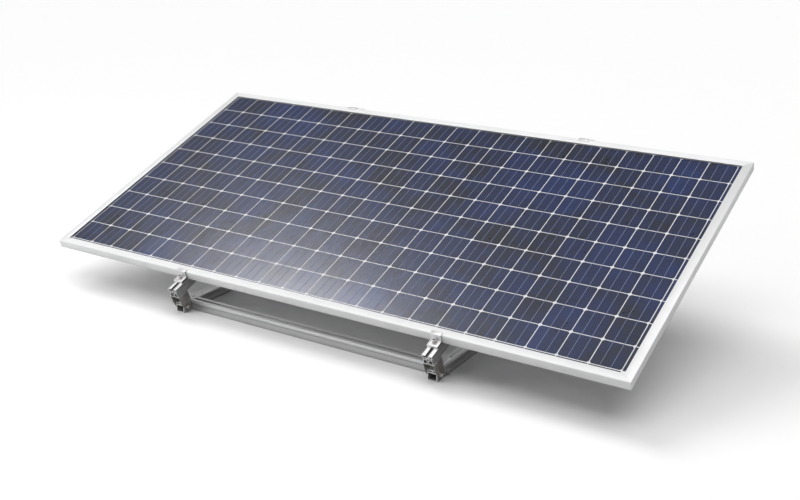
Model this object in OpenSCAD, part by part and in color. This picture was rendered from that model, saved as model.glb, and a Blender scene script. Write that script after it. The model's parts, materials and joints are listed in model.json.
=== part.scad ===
// Tilted mount for one framed solar module: two triangular aluminium frames, joined by cross rails,
// that hold the module at a fixed tilt on the ground or on a flat roof.
// X runs along the module's long side, Y from the low front edge to the high rear edge, Z is up.

/* [Solar module] */
// Long side of the module, along X
module_w = 2278; // [1700:1:2500]
// Short side of the module, up the slope
module_d = 1134; // [1010:1:1300]
// Height of the module frame
module_t = 30; // [25:0.5:45]
// Width of the frame's rim over the glass
rim_w = 29.5; // [12:0.5:40]
// Thickness of the frame's rim
rim_t = 1.8; // [1:0.1:3]
// Thickness of the frame's outer wall
frame_wall = 2; // [1:0.1:4]
// Thickness of the frame's ledge, inner wall and bottom flange
frame_web = 1.6; // [1:0.1:3]
// Distance from the frame's outer face to its inner wall
chamber_w = 12; // [8:0.5:20]
// Thickness of the glass pane
glass_t = 3.2; // [2:0.1:5]
// Thickness of the solar cells
cell_t = 0.4; // [0.2:0.05:1]
// Thickness of the back sheet
sheet_t = 0.6; // [0.3:0.05:2]
// Room between the pane's edge and the frame's outer wall
pane_room = 4; // [1:0.5:10]
// Length of each arm of the corner keys
key_arm = 60; // [30:1:120]
// Clearance of the corner keys in the frame's chambers
key_play = 0.3; // [0.1:0.05:1]

/* [Cell field] */
// Cells along the long side
cell_columns = 22; // [8:1:22]
// Cells up the slope
cell_rows = 10; // [4:1:10]
// Distance of the cell field from the module's short sides
field_margin_x = 39; // [36:0.5:80]
// Distance of the cell field from the module's long sides
field_margin_y = 34.5; // [34:0.5:80]
// White gap between two columns of cells
column_gap = 3.1; // [1.5:0.1:8]
// White gap between two rows of cells
row_gap = 3.7; // [1.5:0.1:8]
// Corner cut of each cell
cell_chamfer = 5.4; // [2:0.1:12]
// Shift of the cell field from the module's centre, along X
field_shift_x = -3.8; // [-6:0.1:6]
// Shift of the cell field from the module's centre, up the slope
field_shift_y = 6; // [-6:0.1:6]
// Ribbons across each cell
ribbons_per_cell = 2; // [1:1:4]
// Width of a ribbon
ribbon_w = 1.6; // [0.8:0.1:3]
// Thickness of a ribbon
ribbon_t = 0.3; // [0.1:0.05:0.5]
// Air between the ribbons and the pane
ribbon_play = 0.1; // [0.05:0.05:0.3]

/* [Junction box] */
// Width of the junction box, along X
jbox_w = 112; // [80:1:160]
// Depth of the junction box, up the slope
jbox_d = 74; // [50:1:100]
// Height of the junction box without its lid
jbox_h = 15; // [12:0.5:16]
// Wall of the junction box
jbox_wall = 2.2; // [1.5:0.1:4]
// Thickness of the junction box lid
jbox_lid_t = 3; // [2:0.1:5]
// Distance from the module's rear face to the junction box
jbox_setback = 120; // [60:1:300]
// Spacing of the two cable glands
gland_spacing = 70; // [40:1:90]
// Diameter of a cable gland
gland_d = 12; // [9:0.1:13]
// Bore of a cable gland
gland_bore = 6; // [4:0.1:7]
// Length of a cable gland outside the box
gland_len = 16; // [8:0.5:30]

/* [Stance] */
// Tilt of the module
tilt = 20; // [15:1:25]
// Distance between the centre lines of the two frames
frame_spacing = 1034; // [700:1:1400]
// Height of the front hinge bolt above the ground
hinge_z = 20.5; // [18:0.1:22]
// Distance of the front hinge bolt from the base rail's front end
hinge_setback = 13.7; // [12:0.1:24]
// Distance of the module's low edge from the top rail's front end, along the slope
module_setback = 67.5; // [60:0.5:120]
// Distance of the rear legs' centre line from the base rail's rear end
leg_setback = 141; // [125:1:300]
// Clearance between a leg's top and the bracket above it
leg_play = 2; // [1:0.1:6]

/* [Slotted rail] */
// Side of the slotted rail's square outline, used for the top rails and the cross rails
rail_w = 36; // [34:0.5:44]
// Length of a top rail beyond the module's high edge, along the slope
rail_overhang = 48.5; // [40:0.5:250]
// Mouth of the slot
slot_w = 11; // [9.5:0.1:13]
// Thickness of the two flanges beside the slot
flange_t = 2.5; // [2:0.1:4]
// Thickness of the rail's other walls
rail_wall = 2.2; // [1.6:0.1:3]
// Height of the slot's chamber
slot_h = 7.3; // [7:0.1:9]
// Height of the rail's upper side faces, beside the slot
shoulder_h = 11; // [10:0.5:12]
// Depth of the waist in the rail's sides
waist_depth = 3; // [1.5:0.1:4]
// Height of the waist's upright face
waist_h = 5; // [3:0.5:6]
// Height of the flat foot of the rail's sides
foot_h = 9; // [6:0.5:10]
// Width of the channel in the rail's underside
channel_w = 12; // [10:0.5:13]
// Depth of the channel in the rail's underside
channel_h = 3; // [1.5:0.1:4]
// Outer diameter of the screw port in the rail's core
port_d = 13; // [12:0.1:14]
// Distance of a cross rail's centre line from the base rail's end
cross_setback = 59.2; // [45:0.1:90]

/* [Base rail] */
// Side of the base rail's square outline
base_w = 36; // [32:0.5:44]
// Length of a base rail
base_len = 1131; // [1085:1:1300]
// Wall of the base rail
base_wall = 3; // [2:0.1:4]
// Thickness of the base rail's top wall
base_top_t = 2.5; // [2:0.1:4]
// Height of the shallow upper chamber
base_upper_h = 5; // [3:0.1:6]
// Thickness of the rib between the upper chamber's halves
base_rib_t = 2.5; // [1.5:0.1:4]
// Spacing of the two anchor holes at each end of the base rail's top
hole_spacing = 45; // [30:0.5:60]
// Distance of the outer hole from the base rail's end
hole_setback = 70.5; // [60:0.5:90]
// Diameter of the holes in the base rail's top
hole_d = 9; // [7:0.1:11]

/* [Brackets and legs] */
// Thickness of the bracket sheet
bracket_t = 2; // [1.5:0.1:3]
// Length of a bracket along its rail
bracket_len = 46; // [44:0.5:60]
// Inner radius of a bracket's two bends
bracket_bend = 0.5; // [0.3:0.1:2]
// Distance from a bracket's web to its bolt hole
bracket_reach = 53; // [50:0.5:60]
// Distance from a bracket's front edge to its bolt hole
bracket_hole_y = 19; // [18:0.5:20]
// Radius of the cheek around the bolt hole
cheek_r = 12.5; // [11:0.1:13]
// Straight part of the cheek's front edge
cheek_front_h = 28; // [20:0.5:34]
// Radius of the cheek's rear corner
cheek_rear_r = 10; // [5:0.5:12]
// Clearance of the cheeks beside the rail or leg between them
cheek_play = 0.2; // [0:0.05:0.4]
// Side of the square leg tube
leg_w = 36; // [32:0.5:44]
// Wall of the leg tube
leg_wall = 2.5; // [2:0.1:3]

/* [End clamps] */
// Width of an end clamp
clamp_w = 38; // [30:0.5:50]
// Length of a clamp's foot in front of the module
clamp_foot = 31; // [28:0.5:45]
// Height of a clamp's foot
clamp_foot_h = 9.5; // [6:0.5:14]
// Thickness of a clamp's upright
clamp_web = 3.5; // [2.5:0.1:5]
// Reach of a clamp's lip over the module
clamp_lip = 12; // [8:0.5:20]
// Thickness of a clamp's lip
clamp_lip_t = 2; // [1.5:0.1:4]
// Clearance between a clamp's upright and the module
clamp_play = 0.2; // [0.1:0.05:0.5]
// Distance from the module to the clamp's screw
clamp_screw_y = 14; // [13:0.5:20]

/* [Fasteners] */
// Shank diameter of the bolts and screws
bolt_d = 8; // [6:0.1:8]
// Clearance holes for them
bolt_hole_d = 9; // [8.6:0.1:10]
// Head diameter of the socket head bolts
head_d = 13; // [10:0.1:13.5]
// Head height of the socket head bolts
head_h = 8; // [5:0.1:10]
// Key size of the hexagon socket
socket_af = 6; // [4:0.5:7]
// Depth of the hexagon socket
socket_depth = 4; // [2:0.1:5]
// Width across flats of the nuts
nut_af = 13; // [10:0.1:14]
// Height of the nuts
nut_h = 6.5; // [4:0.1:8]
// Length of thread past a nut
thread_past_nut = 3; // [1:0.5:6]
// Outer diameter of the flat washers
washer_d = 16; // [14:0.1:18]
// Thickness of the flat washers
washer_t = 1.6; // [1:0.1:2.5]
// Outer diameter of the spring washers
spring_d = 14; // [12.5:0.1:15]
// Thickness of the spring washers
spring_t = 2.1; // [1.5:0.1:3]
// Clearance around a shank in nuts, washers and screw ports
thread_play = 0.1; // [0.05:0.01:0.3]
// Grip of the cross rail screws in the screw port
port_grip = 25; // [15:1:40]
// Width of a slot nut across the rail
slot_nut_w = 20; // [16:0.5:24]
// Length of a slot nut along the rail
slot_nut_len = 22; // [16:0.5:26]
// Thickness of a slot nut under the flanges
slot_nut_t = 5.5; // [4:0.1:6.5]
// Clearance of the slot nut's neck in the slot
slot_nut_play = 0.3; // [0.1:0.05:0.6]
// Length of a clamp screw past its slot nut
clamp_screw_past = 1; // [0.5:0.1:1.5]
// Shank diameter of the bracket screws
tap_d = 5.4; // [4:0.1:5.6]
// Length of a bracket screw under its head
tap_len = 14; // [12:0.5:16]
// Flange diameter of the bracket screws
tap_flange_d = 10.4; // [9:0.1:10.6]
// Flange thickness of the bracket screws
tap_flange_t = 1; // [0.8:0.1:1.6]
// Hexagon of the bracket screws, across flats
tap_af = 8; // [6:0.1:8]
// Height of the bracket screws' hexagon
tap_hex_h = 4.2; // [3:0.1:5]
// Distance of the bracket screws from a bracket's front edge
tap_y = 28; // [27:0.5:28]
// Spacing of a bracket's two screws
tap_spacing = 18; // [17:0.5:18]

/* [Hidden] */
$fn = 32;
// Overshoot of every cutting tool
cut = 1;
left = -1;
right = 1;
side_x = frame_spacing / 2;

// Heights in the module, above its underside
pane_top = module_t - rim_t;
pane_bottom = pane_top - glass_t;
cell_top = pane_bottom - ribbon_play - ribbon_t;
sheet_bottom = cell_top - cell_t - sheet_t;
// The laminate's outline, inside the frame's outer wall
pane_w = module_w - 2 * (frame_wall + pane_room);
pane_d = module_d - 2 * (frame_wall + pane_room);
// Width of the window inside the rim, and the cell field's size and corner
window_w = module_w - 2 * rim_w;
field_w = module_w - 2 * field_margin_x;
field_d = module_d - 2 * field_margin_y;
cell_pitch_x = field_w / cell_columns;
cell_pitch_y = field_d / cell_rows;
field_x = field_shift_x - field_w / 2;
field_y = field_shift_y + field_margin_y;
// Part cells under the rim's edge reach this far past the window
cell_tuck = 2;
// Narrowest strip of a part cell that is laid
cell_strip = 1;

// Slotted rail section
slot_floor = rail_w - flange_t - slot_h;
port_z = rail_w / 2;
port_bore = bolt_d + 2 * thread_play;
// Half widths of the rail at its sides and at its waist
side_half = rail_w / 2;
waist_half = side_half - waist_depth;
// The waist lies between the slope below the shoulder and the slope down to the foot
waist_top = rail_w - shoulder_h - waist_depth;
waist_bottom = waist_top - waist_h;
// Thin webs between the port and the rail's other walls
port_web = 2;

// The top rails reach past the module at both ends, where its end clamps stand
top_rail_len = module_setback + module_d + rail_overhang;

// Places in the side view, in world Y and Z
rail_corner_local = hinge_setback - bracket_hole_y * cos(tilt) - bracket_reach * sin(tilt);
rail_corner_z = hinge_z - bracket_hole_y * sin(tilt) + bracket_reach * cos(tilt);
part_front_local = rail_corner_local - rail_w * sin(tilt);
part_rear_local = max(base_len, rail_corner_local + top_rail_len * cos(tilt));
// World Y of the base rails' front ends: the part is centred on Y = 0
base_y = -(part_front_local + part_rear_local) / 2;
rail_corner_y = base_y + rail_corner_local;
hinge_y = base_y + hinge_setback;
leg_local = base_len - leg_setback;
leg_y = base_y + leg_local;
cross_front_y = base_y + cross_setback;
cross_rear_y = base_y + base_len - cross_setback;
base_floor = base_w - base_top_t - base_upper_h;
cross_z = rail_w / 2;
// The leg's head bracket: its place along the top rail, and its bolt's height
head_bracket_y = (leg_y - rail_corner_y - bracket_reach * sin(tilt)) / cos(tilt) - bracket_hole_y;
head_bolt_z = rail_corner_z + (head_bracket_y + bracket_hole_y) * sin(tilt) - bracket_reach * cos(tilt);
foot_bolt_z = base_w + bracket_reach;
// The leg's foot clears the bends of the bracket that it stands in
leg_bottom = base_w + bracket_t + bracket_bend;
leg_top = rail_corner_z + (leg_y - leg_w / 2 - rail_corner_y) * tan(tilt)
    - bracket_t / cos(tilt) - leg_play;
cross_len = frame_spacing - base_w;

// Brackets straddle either a base rail or a leg
bracket_gap = max(base_w, leg_w) + 2 * cheek_play;
bracket_w = bracket_gap + 2 * bracket_t;

// A cheek's sloping front edge cuts this far into the round that it runs along
cheek_cross = 0.05;

// Bolt stacks: washer and spring washer under the head, washer under the nut
stack_t = washer_t + spring_t;
hinge_bolt_len = bracket_w + stack_t + washer_t + nut_h + thread_past_nut;
cross_screw_len = stack_t + base_w + port_grip;
slot_nut_top = rail_w - flange_t;
slot_nut_bottom = slot_nut_top - slot_nut_t;
clamp_screw_len = stack_t + clamp_foot_h + (rail_w - slot_nut_bottom) + clamp_screw_past;
tap_hole_d = tap_d + 2 * thread_play;

// Coordinates of the sloping frame: y along the slope from the rail's front end, z above its underside
module on_slope() {
    translate([0, rail_corner_y, rail_corner_z]) rotate([tilt, 0, 0]) children();
}

// Coordinates of the module: y from its low outer face, z above its underside
module on_module() {
    on_slope() translate([0, module_setback, rail_w]) children();
}

// Extrudes an outline drawn in X and Z along +Y
module along_y(length) {
    translate([0, length, 0]) rotate([90, 0, 0]) linear_extrude(length) children();
}

// Extrudes an outline drawn in Y and Z along X, centred
module across_x(width) {
    rotate([90, 0, 90]) translate([0, 0, -width / 2]) linear_extrude(width) children();
}

// A round rod or cutter along X, from x0 to x1
module rod_x(d, x0, x1) {
    translate([x0, 0, 0]) rotate([0, 90, 0]) cylinder(d = d, h = x1 - x0);
}

// Outline of a slotted rail, centred in X, standing on Z = 0
module slot_rail_outline() {
    half = [
        [channel_w / 2, 0],
        [side_half, 0],
        [side_half, foot_h],
        [waist_half, waist_bottom],
        [waist_half, waist_top],
        [side_half, rail_w - shoulder_h],
        [side_half, rail_w],
    ];
    polygon([
        each half,
        each [for (i = [len(half) - 1 : -1 : 0]) [-half[i].x, half[i].y]],
        [-channel_w / 2 + channel_h, channel_h],
        [channel_w / 2 - channel_h, channel_h],
    ]);
}

// Hollow of the rail's lower half, under the slot's floor
module slot_rail_hollow() {
    floor_z = rail_wall;
    roof_z = slot_floor - rail_wall;
    half = [
        [channel_w / 2 + rail_wall, floor_z],
        [side_half - rail_wall, floor_z],
        [side_half - rail_wall, foot_h],
        [waist_half - rail_wall, waist_bottom],
        [waist_half - rail_wall, roof_z],
    ];
    polygon([
        each half,
        each [for (i = [len(half) - 1 : -1 : 0]) [-half[i].x, half[i].y]],
        [-channel_w / 2, channel_h + rail_wall],
        [channel_w / 2, channel_h + rail_wall],
    ]);
}

module slot_rail_section() {
    slot_half = side_half - rail_wall;
    difference() {
        slot_rail_outline();
        // Slot chamber and its mouth
        translate([-slot_half, slot_floor]) square([2 * slot_half, slot_h]);
        translate([-slot_w / 2, slot_floor]) square([slot_w, rail_w]);
        difference() {
            slot_rail_hollow();
            translate([0, port_z]) circle(d = port_d);
            translate([-rail_w / 2, port_z - port_web / 2]) square([rail_w, port_web]);
            translate([-port_web / 2, 0]) square([port_web, port_z]);
        }
        translate([0, port_z]) circle(d = port_bore);
    }
}

module base_rail_section() {
    inner_w = base_w - 2 * base_wall;
    upper_w = (inner_w - base_rib_t) / 2;
    difference() {
        translate([-base_w / 2, 0]) square(base_w);
        translate([-inner_w / 2, base_wall]) square([inner_w, base_floor - 2 * base_wall]);
        // Upper chamber, in two halves beside its centre rib
        for (s = [left, right]) {
            translate([s * (upper_w + base_rib_t) / 2 - upper_w / 2, base_floor])
                square([upper_w, base_upper_h]);
        }
    }
}

// Top rail, with the holes for its brackets' screws
module top_rail(s) {
    color("#d9dbdd") translate([s * side_x, 0, 0]) on_slope() difference() {
        along_y(top_rail_len) slot_rail_section();
        for (y = [0, head_bracket_y]) {
            tap_holes(y, tap_len);
        }
    }
}

// Holes for a bracket's two screws, up from Z = 0
module tap_holes(y, depth) {
    for (s = [left, right]) {
        translate([s * tap_spacing / 2, y + tap_y, -cut]) cylinder(d = tap_hole_d, h = depth + cut);
    }
}

module base_rail(s) {
    outer = base_len / 2 - hole_setback;
    color("#b9bcbf") translate([s * side_x, base_y, 0]) difference() {
        along_y(base_len) base_rail_section();
        // A pair of anchor holes near each end
        for (end = [-1, 1], y = [outer, outer - hole_spacing]) {
            translate([0, base_len / 2 + end * y, base_w / 2]) cylinder(d = hole_d, h = base_w);
        }
        // Front hinge bolt
        translate([0, hinge_setback, hinge_z]) rod_x(bolt_hole_d, -base_w, base_w);
        // Cross rail screws
        for (y = [cross_setback, base_len - cross_setback]) {
            translate([0, y, cross_z]) rod_x(bolt_hole_d, -base_w, base_w);
        }
        // Foot bracket screws, down from the top
        translate([0, leg_local - bracket_hole_y, base_w]) mirror([0, 0, 1]) tap_holes(0, tap_len);
    }
}

module cross_rail(y) {
    color("#c9cbcd") translate([-cross_len / 2, y, 0]) rotate([0, 0, -90])
        along_y(cross_len) slot_rail_section();
}

// U section of a bracket, drawn in X and Z with its web's upper face on Z = 0
module bracket_section() {
    difference() {
        round_top(bracket_w, bracket_reach + cheek_r, bracket_bend + bracket_t);
        translate([0, -bracket_t]) round_top(bracket_gap, bracket_reach + cheek_r, bracket_bend);
    }
}

// A block with two rounded upper corners, hanging down from Z = 0
module round_top(w, h, r) {
    translate([-w / 2, -h]) square([w, h - r]);
    translate([-w / 2 + r, -h]) square([w - 2 * r, h]);
    for (s = [left, right]) {
        translate([s * (w / 2 - r), -r]) circle(r = r);
    }
}

// Outline of a cheek, drawn in Y and Z
module cheek_outline() {
    hole = [bracket_hole_y, -bracket_reach];
    start = [0, -cheek_front_h];
    away = hole - start;
    reach = norm(away);
    // Line from the front edge that runs along the round around the hole, just inside it
    inner_r = cheek_r - cheek_cross;
    heading = atan2(away.y, away.x) - asin(inner_r / reach);
    touch = start + sqrt(reach * reach - inner_r * inner_r) * [cos(heading), sin(heading)];
    bottom = hole.y - cheek_r;
    rear = [bracket_len - cheek_rear_r, bottom + cheek_rear_r];
    polygon([
        [0, 0], start, touch, hole, [hole.x, bottom], [rear.x, bottom], rear,
        [bracket_len, rear.y], [bracket_len, 0],
    ]);
    translate(hole) circle(r = cheek_r);
    translate(rear) circle(r = cheek_rear_r);
}

// A folded bracket: web under Z = 0, from Y = 0 back, cheeks down
module hinge_bracket() {
    difference() {
        intersection() {
            along_y(bracket_len) bracket_section();
            across_x(2 * bracket_w) cheek_outline();
        }
        translate([0, bracket_hole_y, -bracket_reach]) rod_x(bolt_hole_d, -bracket_w, bracket_w);
        translate([0, 0, -bracket_t - cut]) tap_holes(0, bracket_t + 2 * cut);
    }
}

module front_bracket(s) {
    color("#6b6866") translate([s * side_x, 0, 0]) on_slope() hinge_bracket();
}

module leg_head_bracket(s) {
    color("#6b6866") translate([s * side_x, 0, 0]) on_slope()
        translate([0, head_bracket_y, 0]) hinge_bracket();
}

module leg_foot_bracket(s) {
    color("#6b6866") translate([s * side_x, leg_y - bracket_hole_y, base_w])
        mirror([0, 0, 1]) hinge_bracket();
}

module rear_leg(s) {
    color("#a9acaf") translate([s * side_x, leg_y, 0]) difference() {
        translate([-leg_w / 2, -leg_w / 2, leg_bottom]) cube([leg_w, leg_w, leg_top - leg_bottom]);
        translate([-leg_w / 2 + leg_wall, -leg_w / 2 + leg_wall, leg_bottom - cut])
            cube([leg_w - 2 * leg_wall, leg_w - 2 * leg_wall, leg_top - leg_bottom + 2 * cut]);
        for (z = [foot_bolt_z, head_bolt_z]) {
            translate([0, 0, z]) rod_x(bolt_hole_d, -leg_w, leg_w);
        }
    }
}

// Section of the module frame: X inwards from the outer face, Y up
module frame_section() {
    square([frame_wall, module_t]);
    translate([0, pane_top]) square([rim_w, rim_t]);
    translate([0, sheet_bottom - frame_web]) square([rim_w, frame_web]);
    translate([chamber_w, 0]) square([frame_web, sheet_bottom]);
    square([rim_w, frame_web]);
}

// One side of the frame, its outer face on Y = 0, mitred at both ends
module frame_side(length) {
    intersection() {
        rotate([90, 0, 90]) translate([0, 0, -length / 2]) linear_extrude(length) frame_section();
        linear_extrude(module_t) polygon([
            [-length / 2, 0], [length / 2, 0],
            [length / 2 - rim_w, rim_w], [-length / 2 + rim_w, rim_w],
        ]);
    }
}

module module_frame_front() {
    color("#f2f3f4") on_module() frame_side(module_w);
}

module module_frame_rear() {
    color("#f2f3f4") on_module() translate([0, module_d, 0]) rotate([0, 0, 180]) frame_side(module_w);
}

module module_frame_end(s) {
    color("#f2f3f4") on_module() translate([s * module_w / 2, module_d / 2, 0])
        rotate([0, 0, s * 90]) frame_side(module_d);
}

// Angle pieces that join the frame's sides inside their chambers
module frame_corner_keys() {
    key_w = chamber_w - frame_wall - 2 * key_play;
    key_h = sheet_bottom - 2 * frame_web - 2 * key_play;
    inset = frame_wall + key_play;
    color("#8f9296") on_module() for (sx = [left, right], sy = [left, right]) {
        translate([sx * (module_w / 2 - inset), module_d / 2 + sy * (module_d / 2 - inset), 0])
            mirror([sx > 0 ? 1 : 0, 0, 0]) mirror([0, sy > 0 ? 1 : 0, 0])
            translate([0, 0, frame_web + key_play]) {
                cube([key_arm, key_w, key_h]);
                cube([key_w, key_arm, key_h]);
            }
    }
}

module glass_pane() {
    color("#dfe8f2", 0.35) on_module() translate([-pane_w / 2, frame_wall + pane_room, pane_bottom])
        cube([pane_w, pane_d, glass_t]);
}

module back_sheet() {
    color("#f4f5f6") on_module() translate([-pane_w / 2, frame_wall + pane_room, sheet_bottom])
        cube([pane_w, pane_d, sheet_t]);
}

// Cells with cut corners, and the strips of part cells between the field and the rim
module solar_cells() {
    w = cell_pitch_x - column_gap;
    d = cell_pitch_y - row_gap;
    c = cell_chamfer;
    first_x = field_x + column_gap / 2;
    first_y = field_y + row_gap / 2;
    left_strip = first_x - column_gap + window_w / 2 + cell_tuck;
    right_strip = window_w / 2 + cell_tuck - first_x - field_w;
    front_strip = first_y - row_gap - rim_w + cell_tuck;
    color("#1d2a63") on_module() translate([0, 0, cell_top - cell_t]) linear_extrude(cell_t) {
        for (i = [0 : cell_columns - 1], j = [0 : cell_rows - 1]) {
            translate([first_x + i * cell_pitch_x, first_y + j * cell_pitch_y])
                polygon([[c, 0], [w - c, 0], [w, c], [w, d - c], [w - c, d], [c, d], [0, d - c], [0, c]]);
        }
        for (j = [0 : cell_rows - 1]) {
            y = first_y + j * cell_pitch_y;
            if (left_strip > cell_strip) {
                translate([-window_w / 2 - cell_tuck, y]) square([left_strip, d]);
            }
            if (right_strip > cell_strip) {
                translate([first_x + field_w, y]) square([right_strip, d]);
            }
        }
        if (front_strip > cell_strip) {
            for (i = [0 : cell_columns - 1]) {
                translate([first_x + i * cell_pitch_x, rim_w - cell_tuck]) square([w, front_strip]);
            }
        }
    }
}

// Flat ribbons that run up the slope over every cell
module cell_ribbons() {
    step = cell_pitch_x / (ribbons_per_cell + 1);
    ribbon_len = field_d - row_gap;
    color("#aab6d8") on_module() translate([0, field_y + row_gap / 2, cell_top])
        for (i = [0 : cell_columns - 1], k = [1 : ribbons_per_cell]) {
            translate([field_x + i * cell_pitch_x + k * step - ribbon_w / 2, 0, 0])
                cube([ribbon_w, ribbon_len, ribbon_t]);
        }
}

// Coordinates of the junction box: Z down from the back sheet, at the module's high side
module at_junction_box() {
    on_module() translate([0, module_d - jbox_setback - jbox_d, sheet_bottom])
        mirror([0, 0, 1]) children();
}

module junction_box() {
    color("#202224") at_junction_box() difference() {
        translate([-jbox_w / 2, 0, 0]) cube([jbox_w, jbox_d, jbox_h]);
        translate([-jbox_w / 2 + jbox_wall, jbox_wall, jbox_wall])
            cube([jbox_w - 2 * jbox_wall, jbox_d - 2 * jbox_wall, jbox_h]);
        for (s = [left, right]) {
            translate([s * gland_spacing / 2, -cut, jbox_h / 2]) rotate([-90, 0, 0])
                cylinder(d = gland_bore, h = jbox_wall + 2 * cut);
        }
    }
}

module junction_box_lid() {
    color("#26282b") at_junction_box() translate([-jbox_w / 2, 0, jbox_h]) cube([jbox_w, jbox_d, jbox_lid_t]);
}

module junction_box_glands() {
    color("#1a1b1d") at_junction_box() for (s = [left, right]) {
        translate([s * gland_spacing / 2, 0, jbox_h / 2]) rotate([90, 0, 0]) difference() {
            cylinder(d = gland_d, h = gland_len);
            translate([0, 0, -cut]) cylinder(d = gland_bore, h = gland_len + 2 * cut);
        }
    }
}

// Side view of an end clamp: the module's face is on Y = 0 and the clamp lies at -Y
module clamp_outline() {
    foot_front = -clamp_play - clamp_foot;
    polygon([
        [foot_front, 0],
        [-clamp_play, 0],
        [-clamp_play, module_t],
        [clamp_lip, module_t],
        [clamp_lip, module_t + clamp_lip_t],
        [-clamp_play - clamp_web, module_t + clamp_lip_t],
        [-clamp_play - clamp_web, clamp_foot_h],
        [foot_front, clamp_foot_h],
    ]);
}

// Puts its children at one end clamp: front or rear edge of the module, mirrored at the rear
module at_clamp(s, rear) {
    translate([s * side_x, 0, 0]) on_module() translate([0, rear ? module_d : 0, 0])
        mirror([0, rear ? 1 : 0, 0]) children();
}

module end_clamp(s, rear) {
    color("#e6e7e8") at_clamp(s, rear) difference() {
        across_x(clamp_w) clamp_outline();
        translate([0, -clamp_screw_y, -cut]) cylinder(d = bolt_hole_d, h = clamp_foot_h + 2 * cut);
    }
}

module at_clamp_screws() {
    for (s = [left, right], rear = [false, true]) {
        at_clamp(s, rear) translate([0, -clamp_screw_y, 0]) children();
    }
}

// A socket head bolt, its head above Z = 0 and its shank below
module socket_bolt(length) {
    socket_d = socket_af / cos(30);
    difference() {
        cylinder(d = head_d, h = head_h);
        translate([0, 0, head_h - socket_depth]) cylinder(d = socket_d, h = socket_depth + cut, $fn = 6);
    }
    translate([0, 0, -length]) cylinder(d = bolt_d, h = length);
}

module flat_washer() {
    washer(washer_d, washer_t);
}

module spring_washer() {
    washer(spring_d, spring_t);
}

// A ring that stands on Z = 0
module washer(d, t) {
    difference() {
        cylinder(d = d, h = t);
        translate([0, 0, -cut]) cylinder(d = bolt_d + 2 * thread_play, h = t + 2 * cut);
    }
}

// Flat washer and spring washer, as they lie under a head
module washer_pair() {
    flat_washer();
    translate([0, 0, washer_t]) spring_washer();
}

module clamp_screws() {
    color("#c4c6c8") at_clamp_screws() translate([0, 0, clamp_foot_h + stack_t])
        socket_bolt(clamp_screw_len);
}

module clamp_washers() {
    color("#aeb0b2") at_clamp_screws() translate([0, 0, clamp_foot_h]) washer_pair();
}

module clamp_slot_nuts() {
    neck_w = slot_w - 2 * slot_nut_play;
    neck_h = flange_t - slot_nut_play;
    color("#9a9da0") at_clamp_screws() translate([0, 0, -rail_w]) difference() {
        union() {
            translate([-slot_nut_w / 2, -slot_nut_len / 2, slot_nut_bottom])
                cube([slot_nut_w, slot_nut_len, slot_nut_t]);
            translate([-neck_w / 2, -slot_nut_len / 2, slot_nut_bottom])
                cube([neck_w, slot_nut_len, slot_nut_t + neck_h]);
        }
        cylinder(d = bolt_d + 2 * thread_play, h = rail_w + cut);
    }
}

// Puts its children at the six hinge bolts, X along each bolt
module at_hinges() {
    for (s = [left, right]) {
        translate([s * side_x, hinge_y, hinge_z]) children();
        translate([s * side_x, leg_y, foot_bolt_z]) children();
        translate([s * side_x, leg_y, head_bolt_z]) children();
    }
}

module hinge_bolts() {
    color("#a89f97") at_hinges() translate([bracket_w / 2 + stack_t, 0, 0]) rotate([0, 90, 0])
        socket_bolt(hinge_bolt_len);
}

module hinge_washers() {
    color("#9c948d") at_hinges() {
        translate([bracket_w / 2, 0, 0]) rotate([0, 90, 0]) washer_pair();
        translate([-bracket_w / 2, 0, 0]) rotate([0, -90, 0]) flat_washer();
    }
}

module hinge_nuts() {
    color("#a89f97") at_hinges() translate([-bracket_w / 2 - washer_t, 0, 0]) rotate([0, -90, 0])
        difference() {
            cylinder(d = nut_af / cos(30), h = nut_h, $fn = 6);
            translate([0, 0, -cut]) cylinder(d = bolt_d + 2 * thread_play, h = nut_h + 2 * cut);
        }
}

// Puts its children at the four cross rail screws, Z out of the part's side
module at_cross_screws() {
    for (s = [left, right], y = [cross_front_y, cross_rear_y]) {
        translate([s * (side_x + base_w / 2), y, cross_z]) rotate([0, s * 90, 0]) children();
    }
}

module cross_rail_screws() {
    color("#a89f97") at_cross_screws() translate([0, 0, stack_t]) socket_bolt(cross_screw_len);
}

module cross_rail_washers() {
    color("#9c948d") at_cross_screws() washer_pair();
}

// A hexagon screw with a flange, its flange under Z = 0 and its shank above
module tap_screw() {
    translate([0, 0, -tap_flange_t]) cylinder(d = tap_flange_d, h = tap_flange_t);
    translate([0, 0, -tap_flange_t - tap_hex_h]) cylinder(d = tap_af / cos(30), h = tap_hex_h, $fn = 6);
    cylinder(d = tap_d, h = tap_len);
}

// A bracket's two screws, up through its web
module tap_screw_pair() {
    for (s = [left, right]) {
        translate([s * tap_spacing / 2, tap_y, -bracket_t]) tap_screw();
    }
}

module bracket_screws() {
    color("#b3b5b7") for (s = [left, right]) {
        translate([s * side_x, 0, 0]) {
            on_slope() {
                tap_screw_pair();
                translate([0, head_bracket_y, 0]) tap_screw_pair();
            }
            translate([0, leg_y - bracket_hole_y, base_w]) mirror([0, 0, 1]) tap_screw_pair();
        }
    }
}

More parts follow.
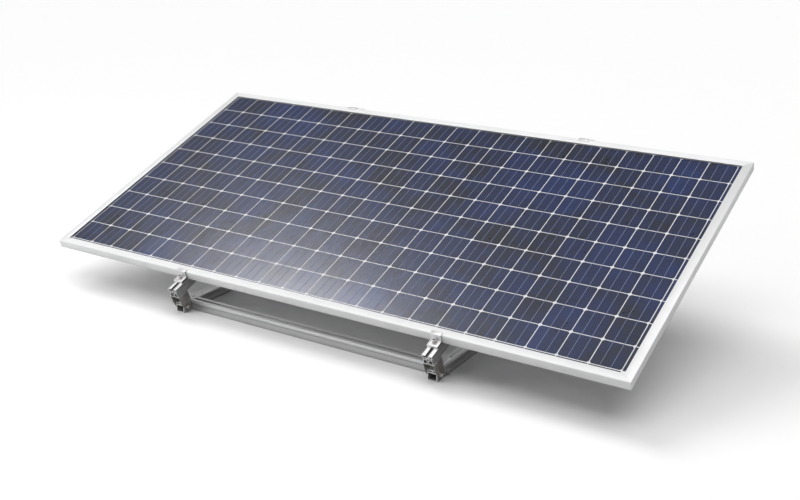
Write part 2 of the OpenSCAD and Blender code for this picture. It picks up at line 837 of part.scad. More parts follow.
module_frame_front();
module_frame_rear();
module_frame_end(left);  // module_frame_left
module_frame_end(right);  // module_frame_right
frame_corner_keys();
glass_pane();
solar_cells();
cell_ribbons();
back_sheet();
junction_box();
junction_box_lid();
junction_box_glands();
top_rail(left);  // top_rail_left
top_rail(right);  // top_rail_right
base_rail(left);  // base_rail_left
base_rail(right);  // base_rail_right
cross_rail(cross_front_y);  // cross_rail_front
cross_rail(cross_rear_y);  // cross_rail_rear
front_bracket(left);  // front_bracket_left
front_bracket(right);  // front_bracket_right
rear_leg(left);  // rear_leg_left
rear_leg(right);  // rear_leg_right
leg_head_bracket(left);  // leg_head_bracket_left
leg_head_bracket(right);  // leg_head_bracket_right
leg_foot_bracket(left);  // leg_foot_bracket_left
leg_foot_bracket(right);  // leg_foot_bracket_right
end_clamp(left, false);  // end_clamp_front_left
end_clamp(right, false);  // end_clamp_front_right
end_clamp(left, true);  // end_clamp_rear_left
end_clamp(right, true);  // end_clamp_rear_right
clamp_screws();
clamp_washers();
clamp_slot_nuts();
hinge_bolts();
hinge_nuts();
hinge_washers();
cross_rail_screws();
cross_rail_washers();
bracket_screws();
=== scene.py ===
# %% [markdown]
# # A solar module on its tilted mount
#
# Two triangular aluminium frames stand on the ground and hold one framed module at 20 degrees. The
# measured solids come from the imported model, and this lesson gives them their finishes: rounded
# edges, real fasteners, crystalline cells under glass, and plain studio light.

# %% Load the measured model
import json
import math

import bmesh
import bpy
from mathutils import Matrix, Vector


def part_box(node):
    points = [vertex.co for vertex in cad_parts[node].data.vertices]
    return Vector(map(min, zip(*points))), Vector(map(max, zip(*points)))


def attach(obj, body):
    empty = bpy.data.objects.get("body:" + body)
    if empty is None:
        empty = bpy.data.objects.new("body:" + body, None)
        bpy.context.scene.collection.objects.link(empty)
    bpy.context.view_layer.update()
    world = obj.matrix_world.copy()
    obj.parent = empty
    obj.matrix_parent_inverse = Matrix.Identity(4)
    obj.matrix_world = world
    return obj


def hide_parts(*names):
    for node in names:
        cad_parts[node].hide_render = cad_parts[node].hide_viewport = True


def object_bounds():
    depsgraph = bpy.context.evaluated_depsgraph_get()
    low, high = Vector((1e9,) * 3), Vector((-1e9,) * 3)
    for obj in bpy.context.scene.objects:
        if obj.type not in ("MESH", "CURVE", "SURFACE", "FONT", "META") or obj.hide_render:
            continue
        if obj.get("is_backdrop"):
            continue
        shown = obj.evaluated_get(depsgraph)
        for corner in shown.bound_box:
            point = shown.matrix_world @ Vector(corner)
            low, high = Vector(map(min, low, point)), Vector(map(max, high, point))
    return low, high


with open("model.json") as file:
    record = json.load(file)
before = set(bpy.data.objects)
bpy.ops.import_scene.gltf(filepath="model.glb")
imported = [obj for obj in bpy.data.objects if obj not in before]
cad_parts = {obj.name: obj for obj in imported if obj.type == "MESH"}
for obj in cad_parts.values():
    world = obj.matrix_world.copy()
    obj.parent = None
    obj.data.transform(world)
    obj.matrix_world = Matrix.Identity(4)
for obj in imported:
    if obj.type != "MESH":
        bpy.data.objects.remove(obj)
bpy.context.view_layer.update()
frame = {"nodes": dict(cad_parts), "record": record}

# %% [markdown]
# ## Where things are
#
# The source works in millimetres, and Blender in metres. Most pieces lie on the slope, so one
# matrix turns slope coordinates (X along the module, Y up the slope, Z off it) into world
# coordinates. The lengths repeat the source's named values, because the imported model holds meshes
# and no dimensions.

# %% Places on the ground and on the slope
mm = 0.001
tilt = math.radians(20)
sides = (-1, 1)
side_x = 517 * mm
rail_w, base_w, base_len = 36 * mm, 36 * mm, 1131 * mm
module_d, module_setback = 1134 * mm, 67.5 * mm
rail_front = Vector((0, -581.1515, 63.8053)) * mm
base_front_y = -558.8703 * mm
slope = Matrix.Translation(rail_front) @ Matrix.Rotation(tilt, 4, "X")
module = slope @ Matrix.Translation((0, module_setback, rail_w))
print("module's low edge at", [round(v, 4) for v in module.translation])

# %% [markdown]
# ## The camera
#
# The picture was taken from the right front, about a metre above the module's high edge. The camera
# could be moved by eye until the outlines agree. The cells make a regular grid, so their corners
# give the place and the turn much more closely. The lens is a plain 50 mm on a sensor 36 mm wide.

# %% Camera
camera_data = bpy.data.cameras.new("camera")
camera_data.lens = 50
camera_data.sensor_width = 36
camera = bpy.data.objects.new("camera", camera_data)
camera.location = (2.081, -3.2149, 1.500)
camera.rotation_euler = (math.radians(70.762), 0, math.radians(32.322))
bpy.context.scene.collection.objects.link(camera)
bpy.context.scene.camera = camera
print("camera", [round(v, 3) for v in camera.location])

# %% [markdown]
# ## Soft studio light
#
# Area lamps all around could light the mount, but the floor would fade away from them. Four broad
# lamps stand far away instead, so the floor is equally bright everywhere. The largest is overhead.
# The key lamp stands behind the module's left end, so the frame's front and right faces stay grey,
# and no mirror ray finds it. Two weak ones fill in from the left front and the right back. A wide
# angle makes the edges of the shadows soft.
#
# Two square lamps stand near. The grey sheen on the lower left cells is the blurred picture of a
# soft box above the module's left end: only mirror rays find it, and further on it is linked to the
# cells. A weak lamp at the left front lights the clamps, the screws and the brackets' bends there.

# %% Helpers for lamps
def lamp_toward(name, kind, direction, strength):
    """A lamp that shines from a direction towards the mount."""
    data = bpy.data.lights.new(name, kind)
    data.energy = strength
    lamp = bpy.data.objects.new(name, data)
    lamp.rotation_euler = direction.to_track_quat("Z", "Y").to_euler()
    bpy.context.scene.collection.objects.link(lamp)
    return lamp


def far_lamp(name, azimuth, elevation, angle, strength):
    """A lamp in that direction, in degrees from +X and above the floor, which looks angle wide."""
    turn, rise = math.radians(azimuth), math.radians(elevation)
    level = math.cos(rise)
    toward = Vector((math.cos(turn) * level, math.sin(turn) * level, math.sin(rise)))
    lamp = lamp_toward(name, "SUN", toward, strength)
    lamp.data.angle = math.radians(angle)
    return lamp


def near_lamp(name, place, direction, size, strength):
    """A square lamp at a place, which the camera doesn't see."""
    lamp = lamp_toward(name, "AREA", Vector(direction), strength)
    lamp.location = place
    lamp.data.size = size
    lamp.visible_camera = False
    return lamp


print("lamp helpers ready")

# %% Six lamps
overhead = far_lamp("overhead", 0, 89, 72, 1.80)
key = far_lamp("key", 154, 43, 28, 1.30)
key.visible_glossy = False
left_fill = far_lamp("left_fill", 230, 42, 60, 0.42)
back_fill = far_lamp("back_fill", 45, 45, 60, 0.15)
soft_box = near_lamp("soft_box", (-2.18, 0.02, 3.70), (-2.18, 0.02, 3.45), 1.0, 400)
soft_box.visible_diffuse = False
near_fill = near_lamp("near_fill", (-2.6, -2.6, 1.6), (-2.4, -2.2, 1.4), 1.5, 22)
lamps = (overhead, key, left_fill, back_fill, soft_box, near_fill)
bpy.context.scene.view_settings.view_transform = "Standard"
print("lamps", [(lamp.name, round(lamp.data.energy, 2)) for lamp in lamps])

# %% [markdown]
# ## Words for shader maths
#
# A material is a graph of nodes, and long graphs are hard to read. The small class below wraps one
# output socket, so that `column - 0.5` adds the Math node that it stands for. Every other node
# comes from the one method `node`.

# %% A socket with Python's operators
class Value:
    """An output socket of a node tree. Arithmetic on it adds Math nodes."""

    def __init__(self, tree, socket):
        self.tree, self.socket = tree, socket

    def node(self, kind, settings=None, sockets=None, output=0):
        return add_node(self.tree, kind, settings, sockets, output)

    def math(self, operation, *others):
        sockets = dict(enumerate((self,) + others))
        return self.node("ShaderNodeMath", {"operation": operation}, sockets)

    def __add__(self, other):
        return self.math("ADD", other)

    def __sub__(self, other):
        return self.math("SUBTRACT", other)

    def __mul__(self, other):
        return self.math("MULTIPLY", other)

    def __truediv__(self, other):
        return self.math("DIVIDE", other)

    def __lt__(self, other):
        return self.math("LESS_THAN", other)

    def __rsub__(self, other):
        return self.node("ShaderNodeMath", {"operation": "SUBTRACT"}, {0: other, 1: self})

    __radd__ = __add__

    def xyz(self):
        """The three parts of a vector."""
        split = self.node("ShaderNodeSeparateXYZ", None, {0: self}).socket.node
        return [Value(self.tree, out) for out in split.outputs]


def add_node(tree, kind, settings=None, sockets=None, output=0):
    """Adds a node, sets its settings and then its sockets, and returns one of its outputs."""
    made = tree.nodes.new(kind)
    for name, setting in (settings or {}).items():
        if name == "stops":
            for i, (position, colour) in enumerate(setting):
                ends = made.color_ramp.elements
                stop = ends[i] if i < 2 else ends.new(position)
                stop.position, stop.color = position, (*colour, 1)
        else:
            setattr(made, name, setting)
    for name, value in (sockets or {}).items():
        if isinstance(value, Value):
            tree.links.new(value.socket, made.inputs[name])
        else:
            made.inputs[name].default_value = value
    return Value(tree, made.outputs[output])


print("shader words ready")

# %% [markdown]
# ## The room around it
#
# The lamps do the lighting, and the room only has to be seen. A picture of a real studio could
# surround the mount, but three plain zones are enough and can be tuned one by one. The camera finds
# white, as it does on the floor, so a low view has no dark sky. Mirror rays find pale walls near
# the horizon, which light up flat tops and rounded bends, and a dim ceiling above them, which keeps
# the frame grey. Where the walls end is given as the sine of the angle above the horizon. The dull
# light that fills the shadows comes from the floor.

# %% World
wall_light, ceiling_light = 0.6, 0.14
wall_top, ceiling_start = 0.22, 0.5
world = bpy.data.worlds.new("studio")
world.use_nodes = True
bpy.context.scene.world = world
background = world.node_tree.nodes["Background"]
room = Value(world.node_tree, background.outputs[0])
camera_ray = room.node("ShaderNodeLightPath")
mirror_ray = room.node("ShaderNodeLightPath", output=3)
_, _, rise = room.node("ShaderNodeTexCoord").xyz()
walls = room.node(
    "ShaderNodeMapRange",
    {"interpolation_type": "SMOOTHSTEP"},
    {
        "Value": rise, "From Min": wall_top, "From Max": ceiling_start,
        "To Min": wall_light, "To Max": ceiling_light,
    },
)
found = camera_ray + mirror_ray * walls
world.node_tree.links.new(found.socket, background.inputs["Strength"])
background.inputs["Color"].default_value = (1, 1, 1, 1)
print("room seen by", camera_ray.socket.name, "and", mirror_ray.socket.name)

# %% [markdown]
# ## A finish
#
# Each finish but the glass is one Principled shader. What is the same all over the surface is set
# on the shader's own sockets, and only what changes over the surface is linked. Patterns could
# follow a UV map, but every piece would need one. They read Object coordinates, which are metres in
# the world because every piece stands at the origin.

# %% Start of every material
class Finish:
    """A material that is being made."""

    def __init__(self, name, **constants):
        self.material = bpy.data.materials.new(name)
        self.material.use_nodes = True
        self.tree = self.material.node_tree
        self.shader = self.tree.nodes["Principled BSDF"]
        for socket, value in constants.items():
            self.shader.inputs[socket.replace("_", " ")].default_value = value

    def node(self, kind, settings=None, sockets=None, output=0):
        return add_node(self.tree, kind, settings, sockets, output)

    def place(self, frame_of_piece=Matrix.Identity(4), scale=(1, 1, 1)):
        """Object coordinates in a piece's own frame, multiplied by scale."""
        spot = self.node("ShaderNodeTexCoord", output=3)
        turned = self.node(
            "ShaderNodeMapping",
            {"vector_type": "TEXTURE"},
            {
                "Vector": spot,
                "Location": frame_of_piece.translation,
                "Rotation": frame_of_piece.to_euler(),
            },
        )
        return self.node("ShaderNodeVectorMath", {"operation": "MULTIPLY"}, {0: turned, 1: scale})

    def noise(self, spot, scale=1.0, detail=2.0, distortion=0.0):
        sockets = {"Vector": spot, "Scale": scale, "Detail": detail, "Distortion": distortion}
        return self.node("ShaderNodeTexNoise", None, sockets)

    def between(self, share, first, second):
        """A colour that goes from first to second."""
        sockets = {"Factor": share, 6: first, 7: second}
        return self.node("ShaderNodeMix", {"data_type": "RGBA"}, sockets, 2)

    def feed(self, socket, value):
        self.tree.links.new(value.socket, self.shader.inputs[socket])

    def bump(self, height, depth):
        """Relief that is depth metres high where height is 1."""
        sockets = {"Height": height, "Distance": depth}
        self.feed("Normal", self.node("ShaderNodeBump", None, sockets))


def rgb(red, green, blue):
    return (red, green, blue, 1)


print("finish class ready")

# %% [markdown]
# ## Extruded aluminium
#
# The die leaves fine lines along every extruded bar, and handling leaves soft cloudy marks. They
# could be cut into the mesh or painted, but both are far finer than a mesh, and noise stays sharp
# in a close-up. One noise is drawn out along the bar, and the other isn't. They vary roughness and
# tone a little, and the lines also make a very shallow relief.
#
# On the rails, painted shade darkens the sides and the chambers below a height in the section, and
# the tops keep the full tone; the sawn ends are left out. On the clamps, painted shade darkens the
# sawn ends, which face along X. The long bars of the module's frame are painted a little lighter
# than the short ones, as a painted highlight along them.

# %% Extruded bars, with their lines along X, Y, Z or the slope
across, lengthwise = 900, 4
line_scales = {
    "x": (lengthwise, across, across),
    "y": (across, lengthwise, across),
    "z": (across, across, lengthwise),
    "slope": (across, lengthwise, across),
}
slots_on_slope = ("module_frame", "top_rail", "clamp")


def extruded(slot, along, tone, roughness, metallic, shade_below=0, side_shade=0, end_shade=0):
    """A bar's finish, with painted shade on its sides below a height in millimetres, and on its
    sawn ends.
    """
    finish = Finish(f"{slot}_{along}", Metallic=metallic)
    turn = slope if slot in slots_on_slope else Matrix.Identity(4)
    die = finish.noise(finish.place(turn, line_scales[along]), detail=3.0)
    marks = finish.noise(finish.place(turn), 9.0, 4.0, 0.4)
    dust = finish.noise(finish.place(turn), 260.0, 2.0)
    finish.feed("Roughness", roughness + (die - 0.5) * 0.16 + (marks - 0.5) * 0.18)
    worn = tuple(c * 0.86 for c in tone)
    share = (die - 0.5) * 0.5 + (marks - 0.42) * 1.3 + (dust - 0.5) * 0.4
    colour = finish.between(share, rgb(*tone), rgb(*worn))
    if side_shade or end_shade:
        endways = finish.node("ShaderNodeNewGeometry", output=1).xyz()[0 if along == "x" else 1]
        long_faces = endways.math("ABSOLUTE") < 0.7
    # Painted shade: faces along the bar below the height are darkened.
    if side_shade:
        low = finish.place(turn).xyz()[2] < shade_below * mm
        colour = finish.between(low * long_faces * side_shade, colour, rgb(0, 0, 0))
    # Painted shade: the sawn ends are darkened.
    if end_shade:
        colour = finish.between((1 - long_faces) * end_shade, colour, rgb(0, 0, 0))
    finish.feed("Base Color", colour)
    finish.bump(die, 0.00002)
    return finish.material


print("line scales", list(line_scales))

# %% Bars by slot and direction: tone, roughness and how metallic they are
bars = {
    # Painted highlight: the module frame's long bars along X are lighter and less metallic than its
    # short ones on the slope.
    ("module_frame", "x"): ((0.93, 0.935, 0.94), 0.42, 0.15),
    ("module_frame", "slope"): ((0.88, 0.885, 0.89), 0.42, 0.35),
    ("top_rail", "slope"): ((0.86, 0.865, 0.87), 0.36, 0.7),
    ("cross_rail", "x"): ((0.85, 0.855, 0.86), 0.38, 0.6),
    ("base_rail", "y"): ((0.95, 0.95, 0.95), 0.45, 0.8),
    ("leg", "z"): ((0.74, 0.745, 0.75), 0.4, 0.7),
    ("clamp", "x"): ((0.87, 0.87, 0.875), 0.38, 0.6),
    ("corner_key", "z"): ((0.60, 0.61, 0.62), 0.5, 0.7),
}
# Painted shade for each slot: the height in millimetres below which the sides darken and by how
# much, and how much the sawn ends darken.
shaded_parts = {
    "top_rail": (34, 0.58),
    "cross_rail": (24.5, 0.3),
    "base_rail": (34, 0.5),
    "clamp": (0, 0, 0.8),
}
finishes = {
    (slot, along): extruded(slot, along, *look, *shaded_parts.get(slot, ()))
    for (slot, along), look in bars.items()
}
print("extruded finishes", len(finishes))

# %% [markdown]
# ## Plated sheet and plain steel
#
# The folded brackets are darker than the bars, with the cloudy spangle of zinc. The fasteners are
# plain steel: turned surfaces with a slight warm stain, duller in patches where hands and weather
# have been. Noise alone could cloud them, but zinc crystals have straight borders, and so have the
# regions of a Voronoi pattern. The bolts' sockets are darkened almost to black: painted shade for
# the deep hollow. A second material could show that, but then the border would be a hard line. The
# bolts' meshes carry a value instead, which is 1 in the socket, and the one material darkens by it.

# %% Bracket sheet and fasteners
def steel(name, tone, stain, roughness, patch_size, relief):
    """Sheet or steel with patches of that size and grit of that depth, in metres."""
    finish = Finish(name, Metallic=0.9)
    patches = finish.noise(finish.place(), 1 / patch_size, 4.0, 0.6)
    sockets = {"Vector": finish.place(), "Scale": 2.2 / patch_size}
    spangle = finish.node("ShaderNodeTexVoronoi", None, sockets, 1)
    facet = finish.node("ShaderNodeSeparateColor", None, {0: spangle})
    grit = finish.noise(finish.place(), 2500.0, 2.0)
    share = patches * 1.4 - 0.45 + (facet - 0.5) * 0.35
    # Painted shade: inside the bolts' sockets the colour goes almost to black.
    socket_shade = finish.node("ShaderNodeAttribute", {"attribute_name": "socket_shade"}, output=2)
    unshaded = finish.between(share, rgb(*tone), rgb(*stain))
    finish.feed("Base Color", finish.between(socket_shade * 0.9, unshaded, rgb(0.02, 0.02, 0.02)))
    finish.feed("Roughness", roughness + (patches - 0.5) * 0.25 + (facet - 0.5) * 0.1)
    finish.bump(grit, relief)
    return finish.material


steels = {
    "bracket": ((0.36, 0.35, 0.34), (0.25, 0.24, 0.23), 0.45, 0.012, 0.00001),
    "bolt": ((0.62, 0.61, 0.60), (0.50, 0.48, 0.46), 0.32, 0.006, 0.000005),
    "washer": ((0.58, 0.56, 0.53), (0.46, 0.44, 0.41), 0.36, 0.006, 0.000005),
    "slot_nut": ((0.56, 0.57, 0.58), (0.46, 0.47, 0.48), 0.38, 0.006, 0.000005),
    "screw": ((0.66, 0.66, 0.67), (0.55, 0.55, 0.56), 0.34, 0.005, 0.000005),
}
for slot, look in steels.items():
    finishes[slot] = steel(slot, *look)
print("steel finishes", list(steels))

# %% [markdown]
# ## Crystalline cells
#
# A cell is sawn from cast silicon, so it shows crystals a few millimetres wide, each reflecting a
# little differently, and tones from brown black to bright blue that run on over several cells.
# Brush-like strokes lie along both of the cell's sides. Every cell could have a material of its
# own, but one pattern over the whole field lets the tones run on as they really do, and a random
# value for each column and row still sets the cells apart. The module's matrix puts the pattern in
# the plane of the cells.

# %% Tones, strokes and crystals of the cells
pitch_x, pitch_y = 100 * mm, 106.5 * mm
field_corner = Vector((-1103.8, 40.5, 0)) * mm
field = module @ Matrix.Translation(field_corner)
cells = Finish("cells", Specular_IOR_Level=0.2)
flat = cells.place(field)
along, up, _ = flat.xyz()
column, row = (along / pitch_x).math("FLOOR"), (up / pitch_y).math("FLOOR")
number = cells.node("ShaderNodeCombineXYZ", None, {0: column, 1: row})
cell_tone = cells.node("ShaderNodeTexWhiteNoise", {"noise_dimensions": "2D"}, {"Vector": number})
clouds = cells.noise(cells.place(field, (4.2, 3.3, 1)), detail=3.0, distortion=0.8)
patches = cells.noise(cells.place(field, (14, 10, 1)), detail=2.0, distortion=0.3)
long_strokes = cells.noise(cells.place(field, (75, 14, 1)), detail=2.0)
cross_strokes = cells.noise(cells.place(field, (14, 75, 1)), detail=2.0)
crystal = cells.node("ShaderNodeTexVoronoi", None, {"Vector": flat, "Scale": 150.0}, 1)
glint = cells.node("ShaderNodeSeparateColor", None, {0: crystal})
shade = (
    (clouds - 0.5) * 1.5 + (patches - 0.5) * 0.8 + (cell_tone - 0.5) * 0.16
    + (long_strokes - 0.5) * 0.5 + (cross_strokes - 0.5) * 0.5 + (glint - 0.5) * 0.08 + 0.52
)
print("cell pattern on a pitch of", pitch_x, "x", pitch_y, "m")

# %% [markdown]
# ## From shade to colour
#
# A mix of two colours could turn the shade into blue, but the dark cells are more brown than blue.
# A ramp with five stops follows that. Silver fingers, about 2 mm apart, cross each cell under the
# ribbons. They are printed and have hardly any height, so they are lines of a paler tone and not a
# mesh: the fraction of a point's place in the finger pitch says where they are.

# %% Colours and fingers of the cells
silicon = cells.node(
    "ShaderNodeValToRGB",
    {
        "stops": [
            (0.0, (0.0175, 0.0190, 0.0270)), (1.0, (0.0135, 0.0320, 0.1200)),
            (0.30, (0.0170, 0.0205, 0.0400)), (0.52, (0.0155, 0.0225, 0.0660)),
            (0.78, (0.0145, 0.0255, 0.0900)),
        ]
    },
    {0: shade},
)
finger_pitch, finger_share = 2.1 * mm, 0.07
finger = (up * (1 / finger_pitch)).math("FRACT") < finger_share
cells.feed("Base Color", cells.between(finger * 0.12, silicon, rgb(0.42, 0.44, 0.52)))
cells.feed("Roughness", 0.28 + glint * 0.06 + (patches - 0.5) * 0.05)
finishes["cells"] = cells.material
print("cell colours ready")

# %% [markdown]
# ## Ribbons and back sheet
#
# The ribbons are tinned copper strips with a flat, slightly blue look through the glass. They could
# be metallic, but bare metal under the pane mirrors the ceiling and turns dark, so they are matt
# and only smeared along their length. The back sheet is white film, a little uneven, and shows
# between the cells.

# %% Ribbons and back sheet
ribbons = Finish("ribbons", Roughness=0.5, Specular_IOR_Level=0.0)
smear = ribbons.noise(ribbons.place(field, (300, 12, 1)), detail=2.0)
ribbons.feed("Base Color", ribbons.between(smear, rgb(0.19, 0.22, 0.36), rgb(0.24, 0.28, 0.43)))
finishes["ribbons"] = ribbons.material

back_sheet = Finish("back_sheet", Roughness=0.55, Specular_IOR_Level=0.3)
film = back_sheet.noise(back_sheet.place(module), 35.0, 3.0)
white = back_sheet.between(film, rgb(0.79, 0.795, 0.81), rgb(0.83, 0.835, 0.85))
back_sheet.feed("Base Color", white)
back_sheet.bump(back_sheet.noise(back_sheet.place(module), 700.0, 2.0), 0.00002)
finishes["back_sheet"] = back_sheet.material
print("ribbon and sheet finishes ready")

# %% [markdown]
# ## Glass
#
# The pane has a coating against reflections and a finely rolled face, so it mirrors very little. A
# glass shader could bend the light through it, but the cells lie close under it and would be left
# in a dark, noisy shadow. A see-through shader and a mirror are mixed instead, by the cube of the
# Fresnel share, and only faces seen from outside mirror anything.

# %% Glass over the cells
pane = Finish("pane")
rolled = pane.noise(pane.place(module), 900.0, 2.0)
relief = pane.node("ShaderNodeBump", None, {"Height": rolled, "Distance": 0.00001})
mirror_share = pane.node("ShaderNodeFresnel", None, {"IOR": 1.45}).math("POWER", 3.0)
inside = pane.node("ShaderNodeNewGeometry", output=6)
clear = pane.node("ShaderNodeBsdfTransparent", None, {"Color": rgb(1, 1, 1)})
mirror = pane.node(
    "ShaderNodeBsdfGlossy", None, {"Color": rgb(1, 1, 1), "Roughness": 0.2, "Normal": relief}
)
glass = pane.node(
    "ShaderNodeMixShader", None, {0: mirror_share * (1 - inside), 1: clear, 2: mirror}
)
pane.tree.links.new(glass.socket, pane.tree.nodes["Material Output"].inputs["Surface"])
pane.tree.nodes.remove(pane.shader)
finishes["pane"] = pane.material
print("glass ready")

# %% [markdown]
# ## Moulded plastic
#
# The junction box under the module is black plastic with the fine grain of a spark-eroded mould.
# The grain could be left to roughness alone. Where light grazes the box it throws shadows of its
# own, so the same noise also makes a relief.

# %% Junction box and cable glands
def moulded(name, tone, roughness):
    finish = Finish(name, Specular_IOR_Level=0.4)
    grain = finish.noise(finish.place(), 1400.0, 2.0)
    cloud = finish.noise(finish.place(), 40.0, 3.0)
    pale = tuple(c * 1.6 for c in tone)
    finish.feed("Base Color", finish.between(cloud, rgb(*tone), rgb(*pale)))
    finish.feed("Roughness", roughness + (grain - 0.5) * 0.2)
    finish.bump(grain, 0.00004)
    return finish.material


finishes["junction_box"] = moulded("junction_box", (0.016, 0.0165, 0.0175), 0.5)
finishes["gland"] = moulded("gland", (0.012, 0.012, 0.013), 0.42)
print("finishes", len(finishes))

# %% [markdown]
# ## Give every solid its finish
#
# The record says which slot each node takes its finish from, so no list of nodes is needed here.
# The bars choose the variant whose lines run along them. The soft box could light everything, but
# bare metal would be overexposed, so it is linked to the cells alone.

# %% Node by node
slot_of = {part["node"]: part["material_slot"] for part in frame["record"]["subparts"]}
run_of = {slot: along for slot, along in bars if slot != "module_frame"}


def finish_of(node):
    slot = slot_of[node]
    if slot == "module_frame":
        return finishes[slot, "slope" if node.endswith(("left", "right")) else "x"]
    return finishes[slot, run_of[slot]] if slot in run_of else finishes[slot]


for name, solid in frame["nodes"].items():
    solid.data.materials.clear()
    solid.data.materials.append(finish_of(name))
under_glass = bpy.data.collections.new("under_glass")
under_glass.objects.link(frame["nodes"]["solar_cells"])
soft_box.light_linking.receiver_collection = under_glass
print("finished nodes", len(slot_of))

# %% [markdown]
# ## Rounded edges
#
# No real edge is sharp. Sawn bars and folded sheet catch a thin line of light along each corner. A
# bevel node in the shader could fake that, but only in the shader and not in the mesh. The solid's
# mesh is copied, its loose triangles are joined, flat regions are merged into single faces so that
# the bevel doesn't follow their diagonals, and the sharp edges are bevelled.

# %% Pieces that stand for a solid
def dress(piece_mesh, name, *nodes, angle=15):
    """Makes an object of a bmesh, with the finish of its first node, in the place of its nodes."""
    mesh = bpy.data.meshes.new(name)
    piece_mesh.to_mesh(mesh)
    piece_mesh.free()
    mesh.shade_smooth()
    mesh.set_sharp_from_angle(angle=math.radians(angle))
    mesh.materials.append(finish_of(nodes[0]))
    piece = bpy.data.objects.new(name, mesh)
    bpy.context.scene.collection.objects.link(piece)
    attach(piece, "root")
    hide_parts(*nodes)
    return piece


def soften(node, width):
    """A copy of a solid with rounded edges, width metres wide."""
    level, corner = math.radians(0.5), math.radians(35)
    body = bmesh.new()
    body.from_mesh(frame["nodes"][node].data)
    bmesh.ops.remove_doubles(body, verts=body.verts, dist=1e-6)
    bmesh.ops.dissolve_limit(body, angle_limit=level, verts=body.verts, edges=body.edges)
    inner = [e for e in body.edges if len(e.link_faces) == 2]
    sharp = [e for e in inner if e.calc_face_angle(0) > corner]
    bmesh.ops.bevel(
        body, geom=sharp, offset=width, offset_type="OFFSET", segments=2, profile=0.5,
        affect="EDGES", clamp_overlap=True, material=-1,
    )
    return dress(body, f"{node}_softened", node, angle=40)


print("helpers ready")

# %% [markdown]
# ## How round each edge is
#
# One width could serve all, but it would eat the thin walls of the rails or leave the thick tubes
# and the plastic box too sharp. Sheet and slotted rails get 0.25 to 0.3 mm, base rails, clamps and
# frame 0.4 to 0.5 mm, and the legs and the moulded box about a millimetre. The widths below are in
# millimetres, and the print says how far each softened box is from its solid's.

# %% Softened solids
softened = {
    "module_frame_front": 0.5, "module_frame_rear": 0.5,
    "module_frame_left": 0.5, "module_frame_right": 0.5,
    "top_rail_left": 0.3, "top_rail_right": 0.3,
    "cross_rail_front": 0.3, "cross_rail_rear": 0.3,
    "base_rail_left": 0.4, "base_rail_right": 0.4,
    "rear_leg_left": 0.8, "rear_leg_right": 0.8,
    "front_bracket_left": 0.25, "front_bracket_right": 0.25,
    "leg_head_bracket_left": 0.25, "leg_head_bracket_right": 0.25,
    "leg_foot_bracket_left": 0.25, "leg_foot_bracket_right": 0.25,
    "end_clamp_front_left": 0.4, "end_clamp_front_right": 0.4,
    "end_clamp_rear_left": 0.4, "end_clamp_rear_right": 0.4,
    "clamp_slot_nuts": 0.4, "junction_box": 1.0, "junction_box_lid": 0.8,
}
for node, width in softened.items():
    piece = soften(node, width * mm)
    low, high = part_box(node)
    gaps = [*(Vector(piece.bound_box[0]) - low), *(Vector(piece.bound_box[6]) - high)]
    spread = max(abs(gap) for gap in gaps)
    print(node, len(piece.data.polygons), "faces, box off by", round(spread / mm, 3), "mm")

# %% [markdown]
# ## Loops that become fasteners
#
# Bolts, nuts and washers are stacks of rings: each ring is a circle or a hexagon of 48 points at
# some height. One ring is extruded again and again, and each new ring's points keep their angle
# around the axis, so no wall is twisted. Cylinders cut by booleans could give the same shapes, but
# with long thin triangles where they meet. A hexagon after a circle gives the chamfer of a real
# nut, and inside a head it gives the mouth of a socket.

# %% Rings and lofts
ring_points = 48


def shape_ring(verts, radius, height, corners=0):
    """Moves the points to a circle, or to a polygon with that many corners at that radius."""
    for v in verts:
        angle = math.atan2(v.co.y, v.co.x)
        reach = radius
        if corners:
            half = math.pi / corners
            reach *= math.cos(half) / math.cos(angle % (2 * half) - half)
        v.co = (reach * math.cos(angle), reach * math.sin(angle), height)


def loft(rings, closed=False, caps=(False, False)):
    """A body through rings of (radius, height[, corners]), in metres."""
    body = bmesh.new()
    verts = bmesh.ops.create_circle(body, segments=ring_points, radius=1, cap_ends=False)["verts"]
    edges = list({e for v in verts for e in v.link_edges})
    shape_ring(verts, *rings[0])
    if caps[0]:
        bmesh.ops.contextual_create(body, geom=edges)
    for values in rings[1:] + (rings[:1] if closed else []):
        made = bmesh.ops.extrude_edge_only(body, edges=edges)["geom"]
        verts = {v for v in made if isinstance(v, bmesh.types.BMVert)}
        edges = [e for e in made if isinstance(e, bmesh.types.BMEdge) and verts.issuperset(e.verts)]
        shape_ring(verts, *values)
    if caps[1]:
        bmesh.ops.contextual_create(body, geom=edges)
    bmesh.ops.remove_doubles(body, verts=body.verts, dist=1e-7)
    bmesh.ops.recalc_face_normals(body, faces=body.faces)
    return body


def pull_in(body, verts, share, every, first):
    """Moves every few of a side's points towards the axis, which ribs the side."""
    for v in verts:
        step = round(math.atan2(v.co.y, v.co.x) / math.tau * ring_points)
        if step % every == first:
            bmesh.ops.scale(body, vec=(share, share, 1), verts=[v])


print("rings of", ring_points, "points")

# %% [markdown]
# ## Threads
#
# A rolled thread is one tooth's outline swept along a helix. Plain grooves or a bump pattern could
# suggest it, but a bolt's end is seen against the light, where the teeth break its outline. Spin
# sweeps the outline when it also moves it by a fraction of the pitch at each step. The outline is
# exactly one pitch tall, so each turn meets the next.

# %% A thread around the Z axis
def add_thread(body, low, high, major, pitch):
    """Adds a thread of pitch metres between the heights low and high."""
    minor = major - 0.6 * pitch
    turns = int((high - low) / pitch) - 1
    steps = turns * 20
    tooth = ((minor, 0), (major, 0.45), (major, 0.55), (minor, 1))
    outline = [body.verts.new((r, 0, low + z * pitch)) for r, z in tooth]
    edges = [body.edges.new(pair) for pair in zip(outline, outline[1:])]
    bmesh.ops.spin(
        body, geom=outline + edges, cent=(0, 0, 0), axis=(0, 0, 1), angle=turns * math.tau,
        dvec=(0, 0, turns * pitch / steps), steps=steps, use_merge=False, use_duplicate=False,
    )


